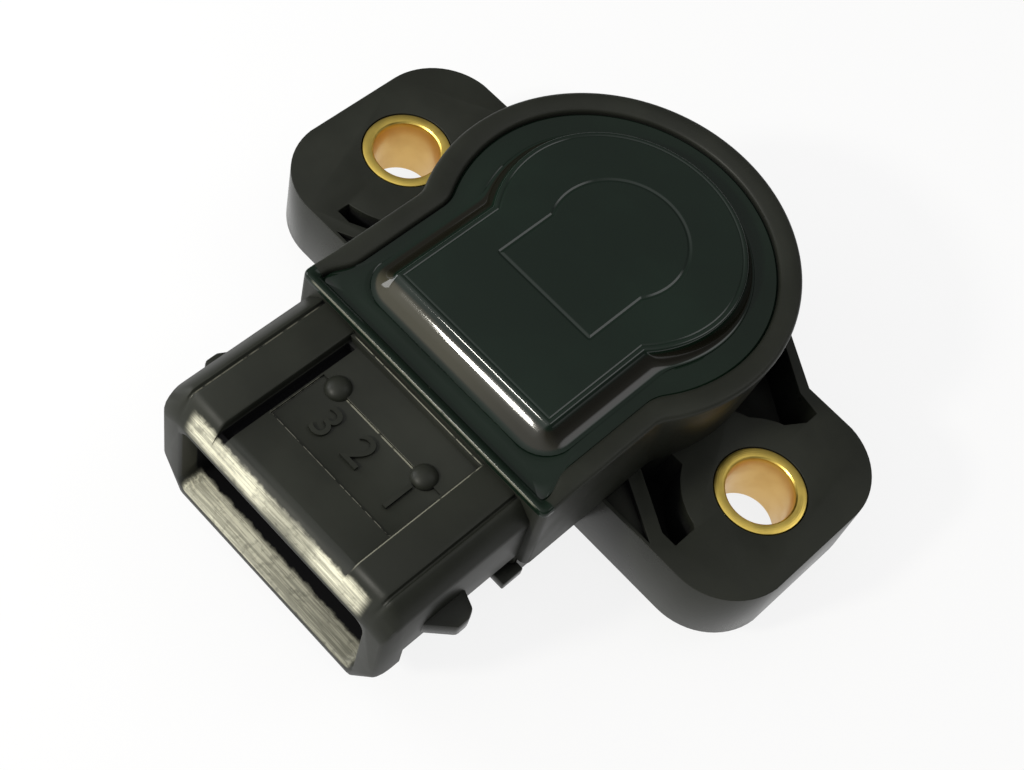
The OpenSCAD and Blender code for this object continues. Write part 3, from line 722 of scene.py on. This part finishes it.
# Height, half width of the straight end and step in at the front of the wall below the rim
LOW_WALL = ((0.8, 10.9, 0.2), (0.86, 11.04, 0.06), (1.0, 11.1, 0.0), (5.62, 11.1, 0.0),
            (5.68, 11.16, 0.0), (5.7, 11.3, 0.0), (5.72, 11.9, 0.0), (5.76, 12.03, 0.0),
            (5.86, 12.1, 0.0), (9.5, 12.05, 0.0))
# Radius and height down the rotor chamber and the bearing's seat, and up round the pilot
BORES = ((10.4, WELL_FLOOR), (10.4, 1.6), (8.1, 1.6), (8.1, 3.6), (7.45, 3.6), (7.45, -1.4),
         (8.3, -1.4), (8.3, -3.05), (8.45, -3.2), (10.75, -3.2), (10.95, -3.1), (11.0, -2.9),
         (11.0, -2.5), (9.8, -2.5), (9.8, -0.7), (11.0, -0.7), (11.0, 0.0))
FOOT = ((12.8, 0.0), (12.93, 0.13), (12.98, 0.8))
CORNER_STUB = ((10.2, -18.75, 3.2), (11.8, -16.8, 4.1))

EAR_END, EAR_FRONT, EAR_BACK, EAR_CORNER = 5.9, -9.7, 9.4, 5.4
EAR_ROOT = 10.9
EAR_WEB = ((15.7, EAR_BACK), (11.0, 12.3), (2.1, 13.8))
BUSHING_HOLE = 3.56
POCKET_FLOOR, FACET_DEPTH, CUTTER_TOP = 1.2, 0.6, 8.0
# Radius that the front pocket keeps clear round the bushing, in the right and the left ear
RIGHT_CLEAR, LEFT_CLEAR = 6.0, 7.1


def wall_plan():
    """Measures of the plan of the outer wall, in the order of key_outline."""
    size = sizes()
    return (size.body_radius / MM, size.body_half_width / MM, size.body_front / MM, WALL_CORNER,
            WALL_FILLET, size.key_offset / MM, 0.0, 1.0)


def body_outline(inset):
    """Plan of the body wall at the rim, in from its outer face. The rim is narrower along the
    front, and its inner edge flares at the front corners."""
    return key_outline(*(v + inset * change for v, change in zip(wall_plan(), RIM_CHANGE)))


def low_wall_outline(z, half_width, front_in):
    """Plan of the outer wall below the rim: the round end tapers towards the mounting face."""
    radius, _, front, *others = wall_plan()
    return key_outline(radius - WALL_TAPER * (1 - z / TAPER_TOP), half_width, front - front_in,
                       *others)


def make_body_shell():
    """The keyhole body with its rim, well, rotor chamber and pilot."""
    top, key_y = sizes().rim_height / MM, sizes().key_offset / MM
    rings = [at_height(low_wall_outline(z, half, front), z) for z, half, front in LOW_WALL]
    rings += [at_height(body_outline(inset), top - drop) for inset, drop in RIM_PROFILE]
    rings.append(at_height(body_outline(RIM_WIDTH), WELL_FLOOR))
    like = body_outline(0.0)
    rings += [at_height(round_outline(radius, 0.0, like), z) for radius, z in BORES]
    rings += [at_height(round_outline(radius, key_y, like), z) for radius, z in FOOT]
    place_moulding(lofted("body_shell", rings, closed=True), "rubbed_highlit_moulding")


def make_corner_stubs():
    """A small stub in front of each lower corner of the body."""
    right = box("corner_stub_right", *CORNER_STUB)
    round_edges(right, 0.12, 2)
    place_moulding(right)
    place_moulding(mirrored(right, "corner_stub_left"))


def ear_outline():
    """Plan of the right ear, anticlockwise. Its inner edge is hidden in the wall."""
    middle = HOLE_X / MM + EAR_END - EAR_CORNER
    points = [(EAR_ROOT, EAR_FRONT)]
    points += arc(middle, EAR_FRONT + EAR_CORNER, EAR_CORNER, -pi / 2, 0, 16)
    points += arc(middle, EAR_BACK - EAR_CORNER, EAR_CORNER, 0, pi / 2, 16)
    points += EAR_WEB
    points += arc(0.0, 1.4, 11.6, radians(74), radians(6), 12)
    return points + [(EAR_ROOT, 0.0)]


def post(name, radius):
    """A round cutter through the right ear, on the axis of its hole."""
    return turned(name, ((0.0, -1.0), (radius, -1.0), (radius, 9.0), (0.0, 9.0)), HOLE_X)


def pocket(name, outline, clear):
    """A cutter for a cored pocket, clear of the boss round the bushing."""
    cutter = prism(name, outline, POCKET_FLOOR, CUTTER_TOP)
    carve(cutter, [post("boss", clear)])
    return cutter


def make_ear(name, front_clear):
    """The right ear with its boss, cored pockets and slanted outer web."""
    thick = sizes().ear_thickness / MM
    ear = prism(name, ear_outline(), 0.0, thick)
    hole = HOLE_X / MM
    back = ((hole - 1.5, 8.2), (hole - 3.5, 8.5), (12.0, 10.75), (9.0, 12.3), (9.0, 3.2),
            (hole - 6.0, 3.2), (hole - 3.0, 4.6), (hole - 1.5, 7.0))
    front = ((hole - 1.1, -6.1), (hole - 1.1, -8.1), (hole - 2.4, -8.1), (11.3, -5.2),
             (9.0, -5.2), (9.0, -3.0), (hole - 5.0, -3.0))
    facet = ((9.0, -6.4), (11.0, -6.4), (hole - 2.4, -9.4), (9.0, -9.4))
    carve(ear, [pocket("back_pocket", back, RIGHT_CLEAR),
                pocket("front_pocket", front, front_clear),
                prism("facet", facet, thick - FACET_DEPTH, CUTTER_TOP),
                post("bushing_hole", BUSHING_HOLE)])
    round_edges(ear, 0.32)
    return ear


def make_ears():
    """The two ears. The pocket in front of the boss is smaller in the left one."""
    place_moulding(make_ear("ear_right", RIGHT_CLEAR))
    plan = make_ear("ear_plan", LEFT_CLEAR)
    place_moulding(mirrored(plan, "ear_left"))
    discard(plan)


# Plug collar

RECESS_DEPTH = 0.8
LIP_ROOT = 5.0
MOUTH_HALF_WIDTH, MOUTH_LOW, MOUTH_HIGH, MOUTH_CORNER = 9.1, 1.9, 9.8, 1.2
COLLAR_ENDS = (-16.9, -27.5)
# Rings of the lip: distance back from the mouth, inset of the sides, drop of the top, lift of
# the bottom, and how far the shoulders are down to the recess
LIP_RINGS = (
    (1.75, 0.0, 0.0, 0.0, 0.0), (1.45, 0.0, 0.06, 0.0, 0.06), (1.1, 0.02, 0.26, 0.0, 0.28),
    (0.75, 0.06, 0.62, 0.01, 0.6), (0.42, 0.14, 1.1, 0.03, 0.9), (0.18, 0.26, 1.65, 0.07, 1.0),
    (0.06, 0.4, 2.2, 0.13, 1.0), (0.02, 0.52, 2.55, 0.2, 1.0))
# Rings of the socket: how much wider all round and lower at the sill, and distance back
MOUTH_RINGS = ((0.4, 0.3, -0.2), (0.28, 0.3, 0.0), (0.1, 0.3, 0.1), (0.0, 0.3, 0.3),
               (0.0, 0.25, 1.3), (0.0, 0.0, 2.0), (0.0, 0.0, 12.2))
# Opposite corners of the straight forms
PAD = ((-5.5, -25.55, 11.9), (6.1, -20.9, 14.0))
TRENCH = ((-6.34, -28.95, 11.4), (-5.64, -18.0, 13.5))
LEDGE = ((-6.5, -17.76, 12.0), (6.5, -17.2, 12.7))
LEFT_STEP = ((-13.0, -28.0, -1.0), (-10.3, -17.0, 6.2))
RIGHT_STEP = ((10.3, -28.0, -1.0), (13.0, -17.0, 6.2))

DOMES = (("left", -4.1), ("right", 4.45))
DOME_RADIUS, DOME_FLATNESS, DOME_CUT = 1.0, 0.72, 0.1
DOME_Y, DOME_Z = -20.8, 11.86
NUMBERS = (("3", -2.6, -23.3), ("2", 0.4, -23.0), ("1", 4.35, -23.3))
NUMBER_SIZE, NUMBER_RAISE, NUMBER_Z = 3.5, 0.2, 11.94
# Plan of a locking wedge, out from the side of the collar, and its heights
WEDGE = ((-1.0, -26.6), (0.0, -26.6), (1.7, -24.9), (1.7, -23.9), (1.3, -23.2), (0.0, -22.7),
         (-1.0, -22.6))
WEDGE_LOW, WEDGE_HIGH = 6.8, 8.3


def collar_section(inset_side=0.0, drop=0.0, lift=0.0, level=0.0):
    """Section of the collar in X and Z, anticlockwise from the lower right corner. At a level
    of one the shoulders beside the recess are down to its floor."""
    w, top = sizes().collar_half_width / MM, sizes().collar_top / MM
    recess = top - RECESS_DEPTH
    right = ((9.15, 0.6), (9.4, 0.7), (11.1, 3.75), (w, 4.1), (w, 11.1), (w - 0.12, 11.5),
             (w - 1.25, 12.72), (w - 1.5, top - 0.12), (w - 1.62, top - 0.3), (w - 1.74, top - 0.3),
             (w - 1.85, top - 0.06), (w - 2.1, top), (6.62, top), (6.48, top - 0.05),
             (6.42, top - 0.16), (6.4, top - 0.74), (6.33, recess))
    half = []
    for x, z in right:
        if z > recess:
            z += (recess - z) * level
        upper = max(0.0, min(1.0, (z - LIP_ROOT) / (top - LIP_ROOT)))
        half.append((x * (1 - inset_side / w), z - drop * upper ** 2 + lift * (1 - upper) ** 4))
    return half + [(-x, z) for x, z in reversed(half)]


def mouth_section(grow, low):
    """Section of the socket opening."""
    r = MOUTH_CORNER
    right, top = MOUTH_HALF_WIDTH + grow - r, MOUTH_HIGH + grow - r
    sill = MOUTH_LOW - grow - low + r
    points = arc(right, sill, r, -pi / 2, 0, 6) + arc(right, top, r, 0, pi / 2, 6)
    return points + arc(-right, top, r, pi / 2, pi, 6) + arc(-right, sill, r, pi, 1.5 * pi, 6)


def make_collar():
    """The plug collar with its shoulders, sunk pad, rounded lip and socket."""
    front = -sizes().collar_front / MM
    outer = [across(collar_section(), y) for y in COLLAR_ENDS]
    outer += [across(collar_section(*shape), front + back) for back, *shape in LIP_RINGS]
    inner = [across(mouth_section(grow, low), front + back) for grow, low, back in MOUTH_RINGS]
    collar = lofted("collar", outer, capped=True)
    carve(collar, [lofted("socket", inner, capped=True), box("pad", *PAD), box("trench", *TRENCH),
                   box("left_step", *LEFT_STEP), box("right_step", *RIGHT_STEP)])
    carve(collar, [box("ledge", *LEDGE)], "UNION")
    round_edges(collar, 0.14, 2, sharp=40.0)
    place_moulding(collar, "rubbed_highlit_moulding")


def make_domes():
    """Two low domes beside the numbering pad."""
    for side, x in DOMES:
        bm = bmesh.new()
        bmesh.ops.create_uvsphere(bm, u_segments=40, v_segments=24, radius=DOME_RADIUS * MM)
        bmesh.ops.bisect_plane(bm, geom=bm.verts[:] + bm.edges[:] + bm.faces[:],
                               plane_co=(0, 0, DOME_CUT * MM), plane_no=(0, 0, -1),
                               clear_outer=True)
        bmesh.ops.holes_fill(bm, edges=[e for e in bm.edges if e.is_boundary])
        bmesh.ops.scale(bm, vec=(1, 1, DOME_FLATNESS), verts=bm.verts)
        bmesh.ops.translate(bm, vec=Vector((x, DOME_Y, DOME_Z)) * MM, verts=bm.verts)
        place(finish_mesh(bm, "dome_" + side), "black_moulding")


def make_numbers():
    """Raised terminal numbers on the pad, read from the mouth of the socket."""
    for text, x, y in NUMBERS:
        curve = bpy.data.curves.new("number_" + text, "FONT")
        curve.body = text
        curve.size, curve.extrude = NUMBER_SIZE * MM, NUMBER_RAISE * MM
        curve.align_x, curve.align_y = "CENTER", "CENTER"
        holder = add_object("number_" + text, curve)
        bpy.context.view_layer.update()
        mesh = bpy.data.meshes.new_from_object(holder)
        bpy.data.objects.remove(holder)
        bm = bmesh.new()
        bm.from_mesh(mesh)
        bpy.data.meshes.remove(mesh)
        bmesh.ops.translate(bm, vec=Vector((x, y, NUMBER_Z)) * MM, verts=bm.verts)
        place(finish_mesh(bm, "number_" + text, sharp=30.0), "black_moulding")


def make_wedges():
    """A locking wedge on each side of the collar."""
    w = sizes().collar_half_width / MM
    right = prism("wedge_right", [(w + x, y) for x, y in WEDGE], WEDGE_LOW, WEDGE_HIGH)
    round_edges(right, 0.2, 2)
    place_moulding(right)
    place_moulding(mirrored(right, "wedge_left"))


# Cover, resin and bushings

# Radius, half width, front, corner, fillet, offset of the centre, flare and squash of the plans
# of the rim's inner edge, the foot and the crest of the cover, and the line in its face
INNER_EDGE = (12.35, 10.305, 16.545, 0.32, 3.1, 1.9, 0.75, 0.961)
COVER_FOOT = (10.4, 9.36, 14.8, 2.6, 4.0, 2.2, 0.0, 0.938)
COVER_CREST = (9.5, 7.6, 12.8, 0.22, 0.25, 2.35, 0.0, 0.947)
KEY_LINE = (5.12, 4.5, 5.75, 0.12, 0.3, 2.0, 0.0, 1.0)
LEAST_CORNER = 0.06
COVER_BOTTOM, COVER_BASE = 9.6, 13.0
FLANK_RINGS, FLANK_CURVE, FLANK_DROP = 14, 2, 0.08
# Distance in from the crest and from the middle of the line, and drop below the face
CREST_RINGS = ((0.04, 0.047), (0.09, 0.02), (0.14, 0.006), (0.2, 0.0), (0.32, 0.0), (0.35, 0.012),
               (0.41, 0.04), (0.47, 0.012), (0.5, 0.0), (0.56, 0.0))
LINE_RINGS = ((-0.27, 0.0), (-0.19, 0.0), (-0.15, 0.01), (-0.04, 0.066), (0.0, 0.075),
              (0.04, 0.066), (0.15, 0.01), (0.19, 0.0), (0.27, 0.0))
# Share of the way from the rim to the cover, and height of the resin there
RESIN_SURFACE = ((0.0, 12.95), (0.03, 12.84), (0.06, 12.93), (0.1, 12.99), (0.4, 12.97),
                 (0.65, 12.97), (0.85, 12.98), (0.95, 12.96), (1.0, 12.88))
RIM_OVERLAP, COVER_OVERLAP = 0.04, 0.05


def blended(t, first, second):
    """Each number of first moved by t towards its partner in second."""
    return [a + (b - a) * t for a, b in zip(first, second)]


def shrunk(plan, inset):
    """A plan with its edges moved in."""
    radius, half_width, front, corner, *others = plan
    return (radius - inset, half_width - inset, front - inset, max(LEAST_CORNER, corner - inset),
            *others)


def make_cover():
    """The cover: hollow flank, sharp crest, flat face with a fine keyhole line."""
    top = sizes().cover_height / MM
    rings = [at_height(key_outline(*COVER_FOOT), z) for z in (COVER_BOTTOM, COVER_BASE)]
    for i in range(1, FLANK_RINGS + 1):
        t = i / FLANK_RINGS
        z = COVER_BASE + (top - FLANK_DROP - COVER_BASE) * t ** FLANK_CURVE
        rings.append(at_height(key_outline(*blended(t, COVER_FOOT, COVER_CREST)), z))
    for plan, edges in ((COVER_CREST, CREST_RINGS), (KEY_LINE, LINE_RINGS)):
        rings += [at_height(key_outline(*shrunk(plan, inset)), top - drop) for inset, drop in edges]
    place(lofted("cover_plate", rings, capped=True), "cover_gloss", ("cover",))


def make_resin():
    """The resin between cover and rim, with a fine shrink gap along the rim."""
    outside, inside = shrunk(INNER_EDGE, -RIM_OVERLAP), shrunk(COVER_FOOT, COVER_OVERLAP)
    rings = [at_height(key_outline(*outside), COVER_BOTTOM)]
    rings += [at_height(key_outline(*blended(t, outside, inside)), z) for t, z in RESIN_SURFACE]
    rings.append(at_height(key_outline(*inside), COVER_BOTTOM))
    place(lofted("resin_fill", rings, closed=True), "resin_gloss", ("potting_resin",))


def make_bushings():
    """The two brass bushings, with all their edges rounded."""
    size = sizes()
    thick, bore, outer = size.ear_thickness / MM, size.bore_radius / MM, size.bushing_radius / MM
    half = ((bore, thick - 0.3), (bore + 0.05, thick - 0.12), (bore + 0.16, thick - 0.02),
            (bore + 0.3, thick), (outer - 0.16, thick), (outer - 0.05, thick - 0.05),
            (outer, thick - 0.16))
    profile = half + tuple((r, thick - z) for r, z in reversed(half))
    for side, x in (("left", -HOLE_X), ("right", HOLE_X)):
        place(turned("brass_bushing_" + side, profile, x), "turned_brass",
              ("bushing_" + side,))


# Stage


def make_camera():
    data = bpy.data.cameras.new("camera")
    data.sensor_width, data.lens = SENSOR_WIDTH, CAMERA_LENS
    data.clip_start, data.clip_end = 0.005, 10.0
    camera = add_object("camera", data)
    camera.location = CAMERA_PLACE
    camera.rotation_euler = [radians(a) for a in CAMERA_TURN]
    bpy.context.scene.camera = camera


def camera_or_shine(tree):
    """One where a ray comes from the camera, a reflection or glass."""
    path = tree.nodes.new("ShaderNodeLightPath")
    seen = math_node(tree, "MAXIMUM", path.outputs["Is Camera Ray"],
                     path.outputs["Is Glossy Ray"])
    return math_node(tree, "MAXIMUM", seen, path.outputs["Is Transmission Ray"])


def lobe(tree, direction, low, high, outside=0.0, inside=1.0):
    """A value that changes towards a direction of the sky, between two cosines from it."""
    node = tree.nodes.new("ShaderNodeVectorMath")
    node.operation = "DOT_PRODUCT"
    tree.links.new(tree.nodes.new("ShaderNodeTexCoord").outputs["Generated"], node.inputs[0])
    node.inputs[1].default_value = Vector(direction).normalized()
    return ramp(tree, node.outputs["Value"], low, high, outside, inside)


def make_world():
    """Soft light from above, the front left and the back right. The camera sees plain white, and
    shine sees it near the horizon."""
    world = bpy.data.worlds.new("studio")
    world.use_nodes = True
    tree = world.node_tree
    back = tree.nodes["Background"]
    back.inputs["Color"].default_value = opaque((1.0, 1.0, 1.0))
    soft = lobe(tree, *SKY[0])
    for light in SKY[1:]:
        soft = math_node(tree, "ADD", soft, lobe(tree, *light))
    path = tree.nodes.new("ShaderNodeLightPath")
    seen = math_node(tree, "MULTIPLY", camera_or_shine(tree),
                     lobe(tree, (0.0, 0.0, -1.0), *HORIZON))
    seen = math_node(tree, "MAXIMUM", seen, path.outputs["Is Camera Ray"])
    tree.links.new(math_node(tree, "MAXIMUM", soft, seen), back.inputs["Strength"])
    bpy.context.scene.world = world


def mix_shader(tree, factor, first, second):
    node = tree.nodes.new("ShaderNodeMixShader")
    for socket, value in zip(node.inputs, (factor, first, second)):
        tree.links.new(value, socket)
    return node.outputs["Shader"]


def make_floor():
    """A pale floor that camera and shine see near white, with the object's shadow on it. From
    below it is clear, so that the underside shows."""
    bm = bmesh.new()
    bmesh.ops.create_grid(bm, x_segments=1, y_segments=1, size=FLOOR_SIZE)
    bmesh.ops.translate(bm, vec=(0, 0, cad_low[2] - FLOOR_GAP * MM), verts=bm.verts)
    floor = finish_mesh(bm, "floor")
    material, tree, shader = new_material("pale_floor")
    shader.inputs["Base Color"].default_value = opaque(FLOOR_GREY)
    shader.inputs["Roughness"].default_value = 0.9
    shader.inputs["Specular IOR Level"].default_value = 0.1
    white = tree.nodes.new("ShaderNodeEmission").outputs["Emission"]
    clear = tree.nodes.new("ShaderNodeBsdfTransparent").outputs["BSDF"]
    under = tree.nodes.new("ShaderNodeNewGeometry").outputs["Backfacing"]
    glow = math_node(tree, "MULTIPLY", camera_or_shine(tree), FLOOR_GLOW)
    lit = mix_shader(tree, glow, shader.outputs["BSDF"], white)
    tree.links.new(mix_shader(tree, under, lit, clear),
                   tree.nodes["Material Output"].inputs["Surface"])
    floor.data.materials.append(material)


def make_lamps():
    """Soft square lamps that look at the middle of the sensor."""
    for name, direction, distance, side, power, tint in LAMPS:
        data = bpy.data.lights.new(name, "AREA")
        data.shape, data.size = "SQUARE", side
        data.energy, data.color = power, tint
        lamp = add_object(name, data)
        way = Vector(direction).normalized()
        lamp.location = Vector(LAMP_AIM) + way * distance
        lamp.rotation_euler = way.to_track_quat("Z", "Y").to_euler()


# Operators


class SensorOperator(bpy.types.Operator):
    bl_options = {"REGISTER", "UNDO"}


class SENSOR_OT_stage(SensorOperator):
    """Makes the camera, floor, lamps and background"""

    bl_idname = "sensor.stage"
    bl_label = "Stage"

    def execute(self, context):
        make_camera()
        make_world()
        make_floor()
        make_lamps()
        context.scene.view_settings.view_transform = "Standard"
        return {"FINISHED"}


class SENSOR_OT_materials(SensorOperator):
    """Makes the finishes and dresses the CAD nodes that stay"""

    bl_idname = "sensor.materials"
    bl_label = "Finishes"

    def execute(self, context):
        colours = finishes()
        grain = grain_group()
        moulding_finish("black_moulding", grain)
        moulding_finish("rubbed_highlit_moulding", grain, scratch_group())
        gloss_finish("cover_gloss", colours.cover, grain, COVER_ROUGH, FLANK)
        gloss_finish("resin_gloss", colours.resin, grain, RESIN_ROUGH)
        brass_finish("turned_brass", colours.brass, grain)
        for *values, nodes in PLAIN_FINISHES:
            dress_nodes(plain_finish(*values, grain), nodes)
        return {"FINISHED"}


class SENSOR_OT_body(SensorOperator):
    """Makes the keyhole body with its rim and pilot"""

    bl_idname = "sensor.body"
    bl_label = "Body"

    def execute(self, context):
        make_body_shell()
        make_corner_stubs()
        return {"FINISHED"}


class SENSOR_OT_ears(SensorOperator):
    """Makes the two fixing ears"""

    bl_idname = "sensor.ears"
    bl_label = "Ears"

    def execute(self, context):
        make_ears()
        return {"FINISHED"}


class SENSOR_OT_collar(SensorOperator):
    """Makes the plug collar, its wedges, domes and numbers"""

    bl_idname = "sensor.collar"
    bl_label = "Plug collar"

    def execute(self, context):
        make_collar()
        make_wedges()
        make_domes()
        make_numbers()
        return {"FINISHED"}


class SENSOR_OT_cover(SensorOperator):
    """Makes the cover plate and the resin round it"""

    bl_idname = "sensor.cover"
    bl_label = "Cover and resin"

    def execute(self, context):
        make_cover()
        make_resin()
        return {"FINISHED"}


class SENSOR_OT_bushings(SensorOperator):
    """Makes the two brass bushings"""

    bl_idname = "sensor.bushings"
    bl_label = "Bushings"

    def execute(self, context):
        make_bushings()
        return {"FINISHED"}


OPERATORS = (SENSOR_OT_stage, SENSOR_OT_materials, SENSOR_OT_body, SENSOR_OT_ears,
             SENSOR_OT_collar, SENSOR_OT_cover, SENSOR_OT_bushings)


class SENSOR_PT_panel(bpy.types.Panel):
    """Lists the sizes, the finishes and the pieces"""

    bl_idname = "SENSOR_PT_panel"
    bl_label = "Throttle position sensor"
    bl_space_type = "VIEW_3D"
    bl_region_type = "UI"
    bl_category = "Sensor"

    def draw(self, context):
        for group in (context.scene.sensor_sizes, context.scene.sensor_finishes):
            column = self.layout.column()
            for key in group.__annotations__:
                column.prop(group, key)
        for operator in OPERATORS:
            self.layout.operator(operator.bl_idname)


CLASSES = (SensorSizes, SensorFinishes) + OPERATORS + (SENSOR_PT_panel,)


def register():
    for entry in CLASSES:
        bpy.utils.register_class(entry)
    bpy.types.Scene.sensor_sizes = PointerProperty(type=SensorSizes)
    bpy.types.Scene.sensor_finishes = PointerProperty(type=SensorFinishes)


def unregister():
    del bpy.types.Scene.sensor_finishes
    del bpy.types.Scene.sensor_sizes
    for entry in reversed(CLASSES):
        bpy.utils.unregister_class(entry)


def main():
    register()
    for operator in OPERATORS:
        group, name = operator.bl_idname.split(".")
        getattr(getattr(bpy.ops, group), name)()


if __name__ == "__main__":
    main()
